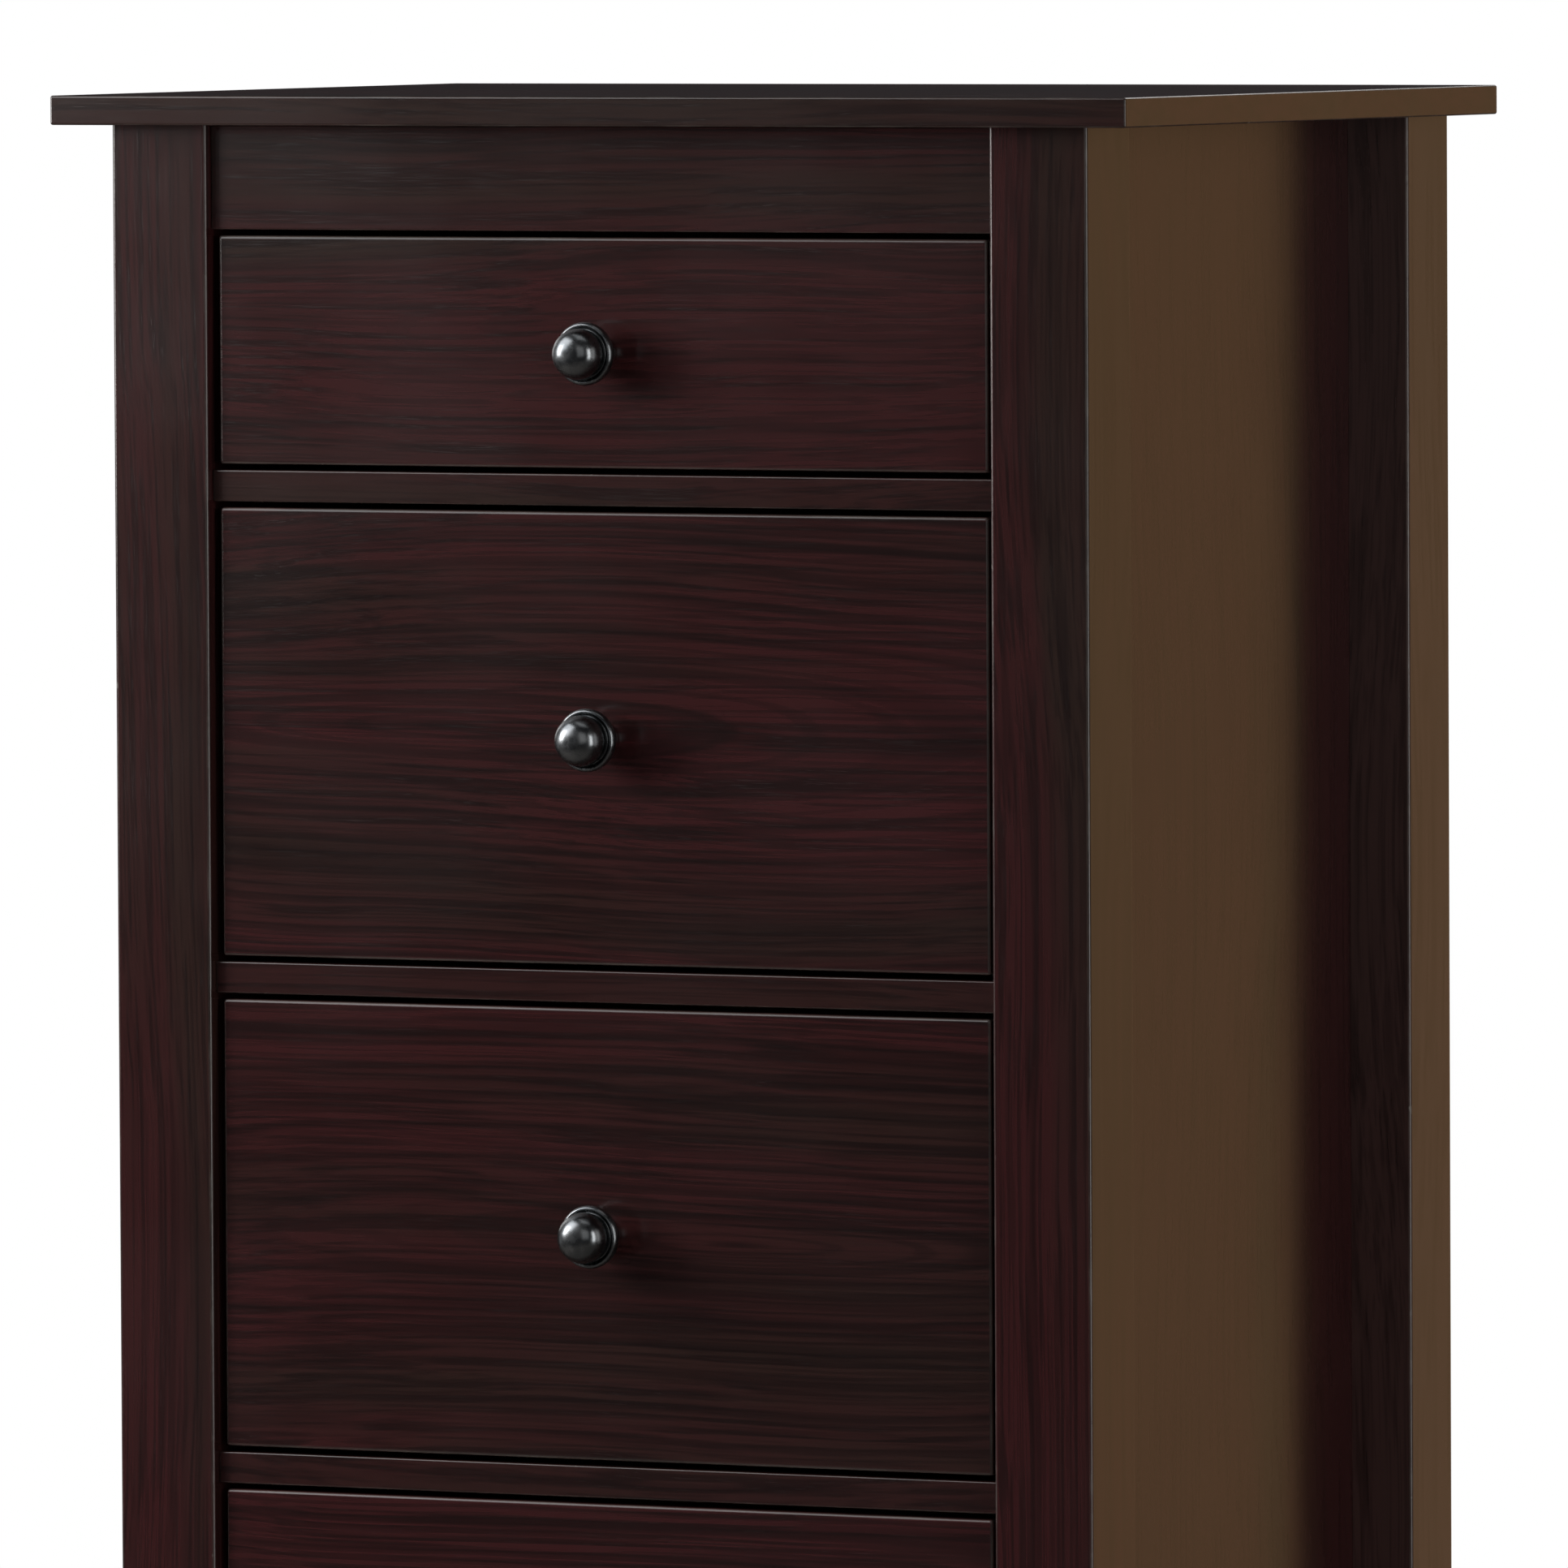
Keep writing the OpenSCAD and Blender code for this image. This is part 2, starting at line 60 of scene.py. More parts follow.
def mesh_piece(name, points, quads, normals=None, wear_and_highlight=None, caps=()):
    """A mesh object from points, quads (count, 4) and flat end caps. Points that coincide are joined;
    a quad whose side has no length becomes a triangle, and one without area is dropped. normals is
    (count, 4, 3) plus one per cap, and the edge mask is 0 to 1 per point, saying where edges are
    painted paler: partly rubbed wear, partly painted highlight."""
    _, first, where = np.unique(np.round(points, 7), axis=0, return_index=True, return_inverse=True)
    where = where.reshape(-1)
    quads = where[quads]
    fresh = quads != np.roll(quads, 1, axis=1)
    whole, tapered = fresh.all(axis=1), fresh.sum(axis=1) == 3
    triangles = quads[tapered][fresh[tapered]].reshape(-1, 3)
    caps = [where[cap] for cap in caps]
    caps = [cap[cap != np.roll(cap, 1)].tolist() for cap in caps]
    mesh = bpy.data.meshes.new(name)
    mesh.from_pydata(points[first].tolist(), [], quads[whole].tolist() + triangles.tolist() + caps)
    mesh.polygons.foreach_set("use_smooth", np.ones(len(mesh.polygons), bool))
    if wear_and_highlight is not None:
        edge = mesh.attributes.new("edge_wear_and_highlight", "FLOAT", "POINT")
        edge.data.foreach_set("value", np.asarray(wear_and_highlight, np.float32)[first])
    mesh.update()
    if normals is not None:
        walls, ends = normals
        bent = [walls[whole].reshape(-1, 3), walls[tapered][fresh[tapered]]]
        bent += [np.tile(end, (len(cap), 1)) for end, cap in zip(ends, caps)]
        mesh.normals_split_custom_set(np.vstack(bent).tolist())
    piece = bpy.data.objects.new(name, mesh)
    bpy.context.scene.collection.objects.link(piece)
    return piece


def stick_outline(corners):
    """The outline of an upright stick from its corners (x, y, radius), anticlockwise. At angle t of an
    eased corner the point is corner + radius * (a + b + n), with n = -(cos t * b + sin t * a), where a
    and b point to the corners before and after. Returns the points, the arcs' normals and the edge
    mask, where edges are painted paler: partly rubbed wear, partly painted highlight."""
    corners = np.array(corners, float)
    xy, radius = corners[:, :2], corners[:, 2:]
    a, b = np.roll(xy, 1, axis=0) - xy, np.roll(xy, -1, axis=0) - xy
    a = a / np.maximum(np.linalg.norm(a, axis=1, keepdims=True), 1e-9)
    b = b / np.maximum(np.linalg.norm(b, axis=1, keepdims=True), 1e-9)
    t = np.linspace(0, np.pi / 2, ARC_STEPS)[None, :, None]
    n = -(np.cos(t) * b[:, None] + np.sin(t) * a[:, None])
    points = xy[:, None] + radius[:, None] * (a[:, None] + b[:, None] + n)
    wear_and_highlight = np.sin(2 * t[..., 0]) * (radius > 0)
    return points.reshape(-1, 2), (n * (radius[:, None] > 0)).reshape(-1, 2), wear_and_highlight.reshape(-1)


def ring_quads(rows, count):
    """The point numbers of rows of closed rings, count points each, and the quads between the rings."""
    index = np.arange(rows * count).reshape(rows, count)
    after = np.roll(index, -1, axis=1)
    return index, np.stack([index[:-1], after[:-1], after[1:], index[1:]], -1).reshape(-1, 4)


def upright_stick(name, levels):
    """A stick carried along Z through levels of (height, corners): walls from outline to outline, closed
    by a flat end at the foot and the head. Walls take their own normal, and eased corners the arc's."""
    outlines = [stick_outline(corners) for _, corners in levels]
    rings = np.stack([np.column_stack([xy, np.full(len(xy), z)])
                      for (z, _), (xy, _, _) in zip(levels, outlines)])
    arcs = np.stack([np.column_stack([n, np.zeros(len(n))]) for _, n, _ in outlines])
    wear_and_highlight = np.concatenate([w for _, _, w in outlines])
    rows, count, _ = rings.shape
    index, quads = ring_quads(rows, count)
    corner = rings.reshape(-1, 3)[quads]
    across = corner[:, 1] - corner[:, 0] + corner[:, 2] - corner[:, 3]
    upward = corner[:, 3] - corner[:, 0] + corner[:, 2] - corner[:, 1]
    flat = np.cross(across, upward)
    flat = flat / np.maximum(np.linalg.norm(flat, axis=1, keepdims=True), 1e-15)
    bent = arcs.reshape(-1, 3)[quads]
    in_arc = (np.arange(count) % ARC_STEPS != ARC_STEPS - 1) & (np.abs(arcs[0]).sum(axis=1) > 0)
    in_arc = np.tile(in_arc, rows - 1)[:, None, None]
    walls = np.where(in_arc, bent, flat[:, None])
    ends = ((0.0, 0.0, -1.0), (0.0, 0.0, 1.0))
    return mesh_piece(name, rings.reshape(-1, 3), quads, (walls, ends), wear_and_highlight, (index[0][::-1], index[-1]))


def wire(tree, kind, inputs=None, **settings):
    """A node with its settings, each input being a value or another node's socket."""
    made = tree.nodes.new(kind)
    for key, value in settings.items():
        setattr(made, key, value)
    for key, value in (inputs or {}).items():
        if isinstance(value, bpy.types.NodeSocket):
            tree.links.new(value, made.inputs[key])
        else:
            made.inputs[key].default_value = value
    return made


def fresh_material(name):
    """An empty material with its node tree and its object coordinates."""
    material = bpy.data.materials.new(name)
    material.use_nodes = True
    tree = material.node_tree
    tree.nodes.clear()
    return material, tree, wire(tree, "ShaderNodeTexCoord").outputs["Object"]


def grain_noise(tree, place, stretch, detail=3.0, rough=0.55):
    """Noise whose cells are one over stretch metres long along each axis of the board."""
    laid = wire(tree, "ShaderNodeMapping", {"Vector": place, "Scale": stretch})
    noise = {"Vector": laid.outputs[0], "Scale": 1.0, "Detail": detail, "Roughness": rough}
    return wire(tree, "ShaderNodeTexNoise", noise).outputs["Fac"]


def remap(tree, value, low, high, to_low=0.0, to_high=1.0):
    """value carried smoothly from low..high to to_low..to_high, and held beyond."""
    sockets = {"Value": value, "From Min": low, "From Max": high, "To Min": to_low, "To Max": to_high}
    return wire(tree, "ShaderNodeMapRange", sockets, interpolation_type="SMOOTHSTEP").outputs["Result"]


def maths(tree, operation, a, b):
    """One sum on two numbers or sockets."""
    return wire(tree, "ShaderNodeMath", {0: a, 1: b}, operation=operation).outputs[0]


def moved(tree, place, by):
    """The coordinates at place, moved by a vector."""
    return wire(tree, "ShaderNodeVectorMath", {0: place, 1: by}, operation="ADD").outputs[0]


def tint(tree, amount, below, above):
    """The colour below, turned to the colour above by amount."""
    return wire(tree, "ShaderNodeMix", {0: amount, 6: below, 7: above}, data_type="RGBA").outputs[2]


def finish_material(tree, sockets, height=None, depth=0.0, strength=1.0):
    """Ends a material in a Principled shader, with a bump of that depth in metres."""
    if height is not None:
        bump = {"Height": height, "Distance": depth, "Strength": strength}
        sockets["Normal"] = wire(tree, "ShaderNodeBump", bump).outputs[0]
    shader = wire(tree, "ShaderNodeBsdfPrincipled", sockets)
    wire(tree, "ShaderNodeOutputMaterial", {"Surface": shader.outputs[0]})


# How the board's axes (along the grain, across it, through the board) lie for each grain direction
GRAIN_TURN = {"x": (0, 0, 0), "y": (0, 0, np.pi / 2), "z": (0, np.pi / 2, 0)}

ESPRESSO = (0.0235, 0.0078, 0.0073, 1)        # the foil's ground colour
ESPRESSO_DARK = (0.0065, 0.0028, 0.0027, 1)   # its grain lines
ESPRESSO_RED = (0.0355, 0.0074, 0.0084, 1)    # its mahogany streaks
ESPRESSO_OLIVE = (0.0165, 0.0108, 0.0080, 1)  # its cooler, greener streaks
ESPRESSO_PAINTED_LIGHT_GROUND = (0.056, 0.036, 0.031, 1)     # painted light: a paler, greyer ground that lightens the rear posts as if more light reached them
ESPRESSO_WORN_AND_HIGHLIGHT = (0.110, 0.098, 0.085, 1)      # paper core where an edge is rubbed, also used as a painted highlight along eased edges


def espresso_foil(name, grain, centre, seed, red=1.0, arch=0.0, print_depth=1.0, gloss=0.20,
                  rubbed=0.10, painted_light=0.0):
    """Semi-gloss printed foil: mahogany and olive streaks, fine dark grain lines and pores along the
    grain, and with arch the long ovals of a flat-sawn board about its centre. red, arch and print_depth
    say how strongly each shows, and gloss is the roughness of the plain foil. The edge-rub amount says
    how pale the eased edges are painted, partly for rubbed wear and partly as painted highlight. The
    paler-ground amount is painted light: it lightens the ground as if more light fell on the board."""
    material, tree, place = fresh_material(name)
    centred = wire(tree, "ShaderNodeVectorMath", {0: place, 1: tuple(centre)}, operation="SUBTRACT")
    turned = wire(tree, "ShaderNodeMapping", {"Vector": centred.outputs[0], "Rotation": GRAIN_TURN[grain]})
    along = turned.outputs[0]
    shifted = moved(tree, along, (seed * 1.7, seed * 0.9, seed * 1.3))
    # a slow wander of the grain, a few millimetres sideways
    slow = remap(tree, grain_noise(tree, shifted, (1.6, 5.0, 5.0), 1.0), 0.25, 0.75, -0.011, 0.011)
    quick = remap(tree, grain_noise(tree, shifted, (9.0, 40.0, 40.0), 1.0), 0.3, 0.7, -0.0006, 0.0006)
    wander = maths(tree, "ADD", slow, quick)
    sideways = wire(tree, "ShaderNodeCombineXYZ", {"Y": wander, "Z": wander}).outputs[0]
    bent = moved(tree, shifted, sideways)
    streaks = grain_noise(tree, bent, (0.7, 13.0, 13.0), 4.0, 0.55)
    bands = grain_noise(tree, bent, (0.9, 110.0, 110.0), 2.0)
    lines = grain_noise(tree, bent, (1.8, 290.0, 290.0), 2.0)
    fine = grain_noise(tree, bent, (5.0, 700.0, 700.0), 2.0)
    pores = grain_noise(tree, bent, (45.0, 2200.0, 2200.0), 1.0)
    colour = tint(tree, remap(tree, streaks, 0.36, 0.66, 0.0, 0.95 * red), ESPRESSO, ESPRESSO_RED)
    colour = tint(tree, remap(tree, streaks, 0.50, 0.30, 0.0, 0.75), colour, ESPRESSO_OLIVE)
    # painted light: the ground lightened towards a paler grey, standing in for light the board lacks
    if painted_light:
        colour = tint(tree, painted_light, colour, ESPRESSO_PAINTED_LIGHT_GROUND)
    colour = tint(tree, remap(tree, bands, 0.48, 0.28, 0.0, 0.55 * print_depth), colour, ESPRESSO_DARK)
    colour = tint(tree, remap(tree, lines, 0.52, 0.36, 0.0, 0.62 * print_depth), colour, ESPRESSO_DARK)
    colour = tint(tree, remap(tree, fine, 0.50, 0.36, 0.0, 0.40 * print_depth), colour, ESPRESSO_DARK)
    if arch:
        offset = (0.012 * np.sin(seed), 0.0, 0.03 * np.cos(2 * seed))
        laid = wire(tree, "ShaderNodeMapping",
                    {"Vector": moved(tree, along, sideways), "Location": offset,
                     "Scale": (0.105, 0.0, 1.0)}).outputs[0]
        here = remap(tree, grain_noise(tree, shifted, (2.0, 5.0, 5.0), 1.0), 0.34, 0.58, 0.4 * arch, arch)
        for scale, weight in ((21.0, 0.58), (57.0, 0.42)):
            rings = wire(tree, "ShaderNodeTexWave",
                         {"Vector": laid, "Scale": scale, "Distortion": 1.6, "Detail": 2.0,
                          "Detail Scale": 1.1, "Detail Roughness": 0.5},
                         wave_type="RINGS", rings_direction="Y", wave_profile="SIN").outputs["Fac"]
            dark = maths(tree, "MULTIPLY", remap(tree, rings, 0.26, 0.02, 0.0, weight), here)
            colour = tint(tree, dark, colour, ESPRESSO_DARK)
    # edges painted paler in places: partly rubbed wear with a few small chips, partly a painted highlight
    edge = wire(tree, "ShaderNodeAttribute", attribute_name="edge_wear_and_highlight").outputs["Fac"]
    scuffs = grain_noise(tree, shifted, (30.0, 40.0, 40.0), 3.0)
    rub = remap(tree, scuffs, 0.42, 0.72, rubbed, rubbed + 0.30)
    chip = remap(tree, grain_noise(tree, shifted, (150.0, 150.0, 150.0), 2.0), 0.725, 0.75, 0.0, 0.95)
    worn_and_highlit = maths(tree, "MULTIPLY", edge, maths(tree, "MAXIMUM", rub, chip))
    colour = tint(tree, worn_and_highlit, colour, ESPRESSO_WORN_AND_HIGHLIGHT)
    relief = maths(tree, "MULTIPLY", remap(tree, pores, 0.46, 0.30), remap(tree, lines, 0.60, 0.35))
    haze = grain_noise(tree, place, (6.0, 6.0, 6.0), 3.0)
    rough = remap(tree, haze, 0.3, 0.7, gloss - 0.02, gloss + 0.03)
    rough = maths(tree, "ADD", rough, maths(tree, "MULTIPLY", relief, 0.06))
    rough = maths(tree, "ADD", rough, maths(tree, "MULTIPLY", worn_and_highlit, 0.3))
    finish_material(tree, {"Base Color": colour, "Roughness": rough, "IOR": 1.5},
                    maths(tree, "SUBTRACT", 1.0, relief), 0.00002, 0.15)
    return material


def box_middle(node):
    """The middle of a frame node's box."""
    low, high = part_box(node)
    return (low + high) / 2


def dress(piece, node, body):
    """Puts a new piece in the place of a frame node."""
    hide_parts(node)
    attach(piece, body)


def clothe(node, material):
    """Gives a frame node its material."""
    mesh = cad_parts[node].data
    mesh.materials.clear()
    mesh.materials.append(material)


panel_low, panel_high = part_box("side_panel_right")
back_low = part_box("back_panel_lower")[0]


def post_levels(node, is_front, is_right):
    """The corners of a post from its foot up: plain below the panels, then notched to the top."""
    low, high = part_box(node)
    near, far = sorted((abs(low.x), abs(high.x)))          # inner and outer face, off the middle
    groove_in, groove_out = panel_low.x - GROOVE_PLAY, panel_high.x + GROOVE_PLAY
    notch_z = panel_low.z - GROOVE_PLAY
    levels = []
    for z, notched in ((low.z, 0), (notch_z, 0), (notch_z, 1), (high.z, 1)):
        if is_front:
            floor_y = high.y - notched * PANEL_TONGUE
            corners = [(near, low.y, POST_EDGE), (far, low.y, POST_EDGE), (far, high.y, POST_EDGE),
                       (groove_out, high.y, 0), (groove_out, floor_y, 0), (groove_in, floor_y, 0),
                       (groove_in, high.y, 0), (near, high.y, POST_EDGE)]
        else:
            floor_y = low.y + notched * PANEL_TONGUE
            step_x = near + notched * REBATE
            step_y = high.y - notched * (high.y - back_low.y + GROOVE_PLAY)
            corners = [(near, low.y, POST_EDGE), (groove_in, low.y, 0), (groove_in, floor_y, 0),
                       (groove_out, floor_y, 0), (groove_out, low.y, 0), (far, low.y, POST_EDGE),
                       (far, high.y, POST_EDGE), (step_x, high.y, 0), (step_x, step_y, 0),
                       (near, step_y, 0)]
        if not is_right:
            corners = [(-x, y, radius) for x, y, radius in corners[::-1]]
        levels.append((z, corners))
    return levels


REAR_PAINTED_LIGHT = 0.5        # painted light: how far the rear posts' foil is lightened towards the paler ground
LINES_LOST_TO_PAINTED_LIGHT = 0.7       # share of the grain lines that foil with full painted light loses


def build_post(node, is_front, is_right, seed, painted_light=0.0):
    """A post in its own piece of foil, in the place of its frame node."""
    post = upright_stick(node + "_foil", post_levels(node, is_front, is_right))
    post.data.materials.append(espresso_foil("espresso_" + node, "z", box_middle(node), seed, red=0.8,
                                             print_depth=1.0 - LINES_LOST_TO_PAINTED_LIGHT * painted_light, painted_light=painted_light))
    dress(post, node, "carcass")


build_post("front_post_left", is_front=True, is_right=False, seed=1.0)
build_post("front_post_right", is_front=True, is_right=True, seed=2.0)
# the rear posts get painted light: their foil is lightened to stand in for light on their fronts
build_post("rear_post_left", is_front=False, is_right=False, seed=3.0, painted_light=REAR_PAINTED_LIGHT)
build_post("rear_post_right", is_front=False, is_right=True, seed=4.0, painted_light=REAR_PAINTED_LIGHT)

# ---------------------------------------------------------------- side panels and back
# Two plain panels of the same foil stand in the grooves of the posts, grain upright. The back is two
# sheets of brown hardboard, smooth side out, joined by an extruded plastic strip.

for seed, node in ((5.0, "side_panel_left"), (6.0, "side_panel_right")):
    clothe(node, espresso_foil("espresso_" + node, "z", box_middle(node), seed, red=0.3,
                               print_depth=0.5, gloss=0.25))


def hardboard(name, seed):
    """Pressed brown fibre: felted short fibres, darker specks and a faint sheen."""
    dark, pale = (0.135, 0.070, 0.036, 1), (0.235, 0.135, 0.074, 1)
    cloud, speck = (0.115, 0.058, 0.030, 1), (0.045, 0.022, 0.012, 1)
    material, tree, place = fresh_material(name)
    shifted = moved(tree, place, (seed, seed * 2, seed * 3))
    fibres = grain_noise(tree, shifted, (420.0, 420.0, 420.0), 4.0, 0.7)
    clouds = grain_noise(tree, shifted, (9.0, 9.0, 9.0), 3.0)
    specks = grain_noise(tree, shifted, (900.0, 900.0, 900.0), 1.0)
    colour = tint(tree, remap(tree, fibres, 0.3, 0.7), dark, pale)
    colour = tint(tree, remap(tree, clouds, 0.35, 0.65, 0.0, 0.35), colour, cloud)
    colour = tint(tree, remap(tree, specks, 0.68, 0.76, 0.0, 0.7), colour, speck)
    rough = remap(tree, fibres, 0.3, 0.7, 0.48, 0.62)
    finish_material(tree, {"Base Color": colour, "Roughness": rough, "IOR": 1.45}, fibres, 0.00012, 0.4)
    return material


back_sheet = hardboard("hardboard_back", 0.3)
clothe("back_panel_upper", back_sheet)
clothe("back_panel_lower", back_sheet)


def moulded_plastic(name, colour, seed):
    """Moulded plastic: a fine spark-eroded texture, slow shade changes and a satin shine."""
    material, tree, place = fresh_material(name)
    shifted = moved(tree, place, (seed, seed, seed))
    spark = grain_noise(tree, shifted, (2200.0, 2200.0, 2200.0), 2.0)
    clouds = grain_noise(tree, shifted, (30.0, 30.0, 30.0), 3.0)
    shade = tuple(c * 0.82 for c in colour[:3]) + (1,)
    mixed = tint(tree, remap(tree, clouds, 0.3, 0.7), shade, colour)
    rough = remap(tree, clouds, 0.3, 0.7, 0.38, 0.50)
    finish_material(tree, {"Base Color": mixed, "Roughness": rough, "IOR": 1.47}, spark, 0.00003, 0.5)
    return material


STRIP_BROWN = (0.055, 0.032, 0.024, 1)
clothe("back_joint_strip", moulded_plastic("brown_strip_plastic", STRIP_BROWN, 0.7))

# ---------------------------------------------------------------- rails
# Foil-wrapped boards dowelled between the posts: a deep one under the top, thin ones between the
# drawers and one under the lowest drawer. Their edges are eased, and the thin ones' foil is much less red.

RAIL_EDGE = 0.0009      # radius of an eased edge


def grid_quads(rows, columns):
    """The quads of an open grid of points."""
    index = np.arange(rows * columns).reshape(rows, columns)
    return np.stack([index[:-1, :-1], index[1:, :-1], index[1:, 1:], index[:-1, 1:]], -1).reshape(-1, 4)


def joined(parts):
    """Several (points, quads) as one, with the quads counted on."""
    starts = np.cumsum([0] + [len(points) for points, _ in parts[:-1]])
    quads = np.vstack([quads + start for start, (_, quads) in zip(starts, parts)])
    return np.vstack([points for points, _ in parts]), quads


def eased_shell(low, high, edge):
    """The shell of a board with all its edges rounded. Point q runs over the six faces of the sharp box,
    c is q held inside the box shrunk by the radius, and the surface is c + radius * (q - c) / |q - c|.
    That direction is the normal, and its lean from the face is the edge mask, where edges are painted
    paler: partly rubbed wear, partly painted highlight."""
    centre, half = (np.array(low) + np.array(high)) / 2, (np.array(high) - np.array(low)) / 2
    inner = half - edge
    reach = edge * np.tan(np.radians([45.0, 30.0, 15.0, 0.0]))
    faces, leans = [], []
    for axis in range(3):
        u_axis, v_axis = (axis + 1) % 3, (axis + 2) % 3
        ticks = [np.concatenate([-inner[k] - reach, inner[k] + reach[::-1]]) for k in (u_axis, v_axis)]
        u, v = np.meshgrid(*ticks, indexing="ij")
        quads = grid_quads(*u.shape)
        for side in (-1, 1):
            q = np.zeros(u.shape + (3,))
            q[..., u_axis], q[..., v_axis], q[..., axis] = u, v, side * half[axis]
            held = np.clip(q, -inner, inner)
            lean = (q - held) / np.linalg.norm(q - held, axis=-1, keepdims=True)
            faces.append(((centre + held + edge * lean).reshape(-1, 3), quads[:, ::side]))
            leans.append(lean.reshape(-1, 3))
    points, quads = joined(faces)
    leans = np.vstack(leans)
    wear_and_highlight = np.clip((1 - np.abs(leans).max(axis=1)) / (1 - np.sqrt(0.5)), 0, 1)
    return points, quads, leans[quads], wear_and_highlight


def foil_board(node, body, edge, seed, **look):
    """A foil-wrapped board with eased edges and its grain from side to side, in the place of a frame
    node."""
    points, quads, normals, wear_and_highlight = eased_shell(*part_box(node), edge)
    board = mesh_piece(node + "_foil", points, quads, (normals, ()), wear_and_highlight)
    board.data.materials.append(espresso_foil("espresso_" + node, "x", box_middle(node), seed, **look))
    dress(board, node, body)


foil_board("top_front_rail", "carcass", RAIL_EDGE, 7.0, red=0.8)
for k in range(1, 5):
    foil_board(f"drawer_rail_{k}", "carcass", RAIL_EDGE, 7.0 + k, red=0.12)
foil_board("bottom_front_rail", "carcass", RAIL_EDGE, 12.0, red=0.6)
clothe("rear_top_rail", espresso_foil("espresso_rear_rail", "x", box_middle("rear_top_rail"), 13.0))
clothe("bottom_panel", espresso_foil("espresso_bottom", "x", box_middle("bottom_panel"), 14.0))

# ---------------------------------------------------------------- top
# One thick board that overhangs the front and the sides, foil-wrapped, with its edges just eased.
# Its grain runs from side to side.

TOP_EDGE = 0.0012       # radius of its eased edges

foil_board("top_panel", "carcass", TOP_EDGE, 15.0, red=0.35)

# ---------------------------------------------------------------- hardware of the carcass
# Beech dowels at the rail ends and the bottom panel, zinc-plated brackets and screws, plastic runners
# on the side panels and a plastic glide nailed under each post.


def zinc_plate(name):
    """Bright zinc over steel: blue-grey, with a spangle of slightly different crystals."""
    dark, pale = (0.46, 0.48, 0.50, 1), (0.66, 0.67, 0.68, 1)
    material, tree, place = fresh_material(name)
    cells = wire(tree, "ShaderNodeTexVoronoi", {"Vector": place, "Scale": 650.0}).outputs["Color"]
    grey = wire(tree, "ShaderNodeSeparateColor", {0: cells}).outputs[0]
    scuffs = grain_noise(tree, place, (300.0, 300.0, 1800.0), 2.0)
    colour = tint(tree, grey, dark, pale)
    rough = maths(tree, "ADD", remap(tree, grey, 0.0, 1.0, 0.24, 0.36),
                  remap(tree, scuffs, 0.5, 0.8, 0.0, 0.2))
    finish_material(tree, {"Base Color": colour, "Metallic": 1.0, "Roughness": rough}, scuffs, 0.00002, 0.4)
    return material


def beech(name):
    """Turned beech: pale, with short dark ray flecks along the dowel."""
    dark, pale, fleck = (0.50, 0.33, 0.18, 1), (0.62, 0.44, 0.27, 1), (0.26, 0.14, 0.07, 1)
    material, tree, place = fresh_material(name)
    flecks = grain_noise(tree, place, (90.0, 900.0, 900.0), 2.0)
    shade = grain_noise(tree, place, (20.0, 160.0, 160.0), 2.0)
    colour = tint(tree, remap(tree, shade, 0.3, 0.7), dark, pale)
    colour = tint(tree, remap(tree, flecks, 0.58, 0.70, 0.0, 0.6), colour, fleck)
    finish_material(tree, {"Base Color": colour, "Roughness": 0.6}, flecks, 0.00008, 0.4)
    return material


zinc = zinc_plate("zinc_plate")
RUNNER_PALE = (0.62, 0.60, 0.54, 1)
pale_plastic = moulded_plastic("pale_plastic", RUNNER_PALE, 0.2)
clothe("rail_dowels", beech("beech_dowel"))
clothe("top_brackets", zinc)
clothe("carcass_screws", zinc)
clothe("drawer_runners", pale_plastic)
clothe("foot_glides", pale_plastic)

# ---------------------------------------------------------------- drawers
# Each drawer is a foil-wrapped front on a box of thin boards in a paler wood-print foil, with a
# hardboard bottom in a groove. The sides are grooved for the runners.

FRONT_EDGE = 0.0018     # radius of the eased edges of a drawer front
FRONT_RUB_AND_HIGHLIGHT = 0.35     # how pale those edges are painted: rubbed wear and painted highlight
FRONT_ARCH = {1: 0.3, 2: 1.0, 3: 0.9, 4: 0.9, 5: 0.9}   # how strongly the arches show
FRONT_RED = {1: 0.65, 2: 1.0, 3: 1.0, 4: 1.0, 5: 1.0}   # how much mahogany shows


def maple_print(name, grain, seed):
    """Thin printed foil on the drawer boxes: pale brown maple with soft streaks, nearly matt."""
    dark, pale, line = (0.34, 0.225, 0.130, 1), (0.50, 0.365, 0.235, 1), (0.24, 0.145, 0.080, 1)
    material, tree, place = fresh_material(name)
    turned = wire(tree, "ShaderNodeMapping", {"Vector": place, "Rotation": GRAIN_TURN[grain],
                                              "Location": (seed, seed * 0.7, seed * 0.4)})
    along = turned.outputs[0]
    streaks = grain_noise(tree, along, (2.2, 45.0, 45.0), 3.0)
    lines = grain_noise(tree, along, (9.0, 520.0, 520.0), 3.0)
    colour = tint(tree, remap(tree, streaks, 0.32, 0.68), dark, pale)
    colour = tint(tree, remap(tree, lines, 0.56, 0.72, 0.0, 0.5), colour, line)
    rough = remap(tree, lines, 0.3, 0.7, 0.42, 0.55)
    finish_material(tree, {"Base Color": colour, "Roughness": rough}, lines, 0.00004, 0.4)
    return material


back_print = maple_print("maple_print_backs", "x", 0.4)
side_print = maple_print("maple_print_sides", "y", 0.9)
drawer_sheet = hardboard("hardboard_drawer", 1.1)
for i in range(1, 6):
    foil_board(f"drawer_{i}_front", f"drawer_{i}", FRONT_EDGE, 20.0 + 3 * i,
               red=FRONT_RED[i], arch=FRONT_ARCH[i], rubbed=FRONT_RUB_AND_HIGHLIGHT)
    clothe(f"drawer_{i}_side_left", side_print)
    clothe(f"drawer_{i}_side_right", side_print)
    clothe(f"drawer_{i}_back", back_print)
    clothe(f"drawer_{i}_bottom", drawer_sheet)
    clothe(f"drawer_{i}_fasteners", zinc)

# ---------------------------------------------------------------- knobs
# One turned and dark-plated zinc knob on each drawer: a foot, a waist, a flared head with a thin rim,
# and a ball that stands in the shallow dish inside the rim. A screw from inside the front holds it.

KNOB_TURNS = 96         # faces round a knob


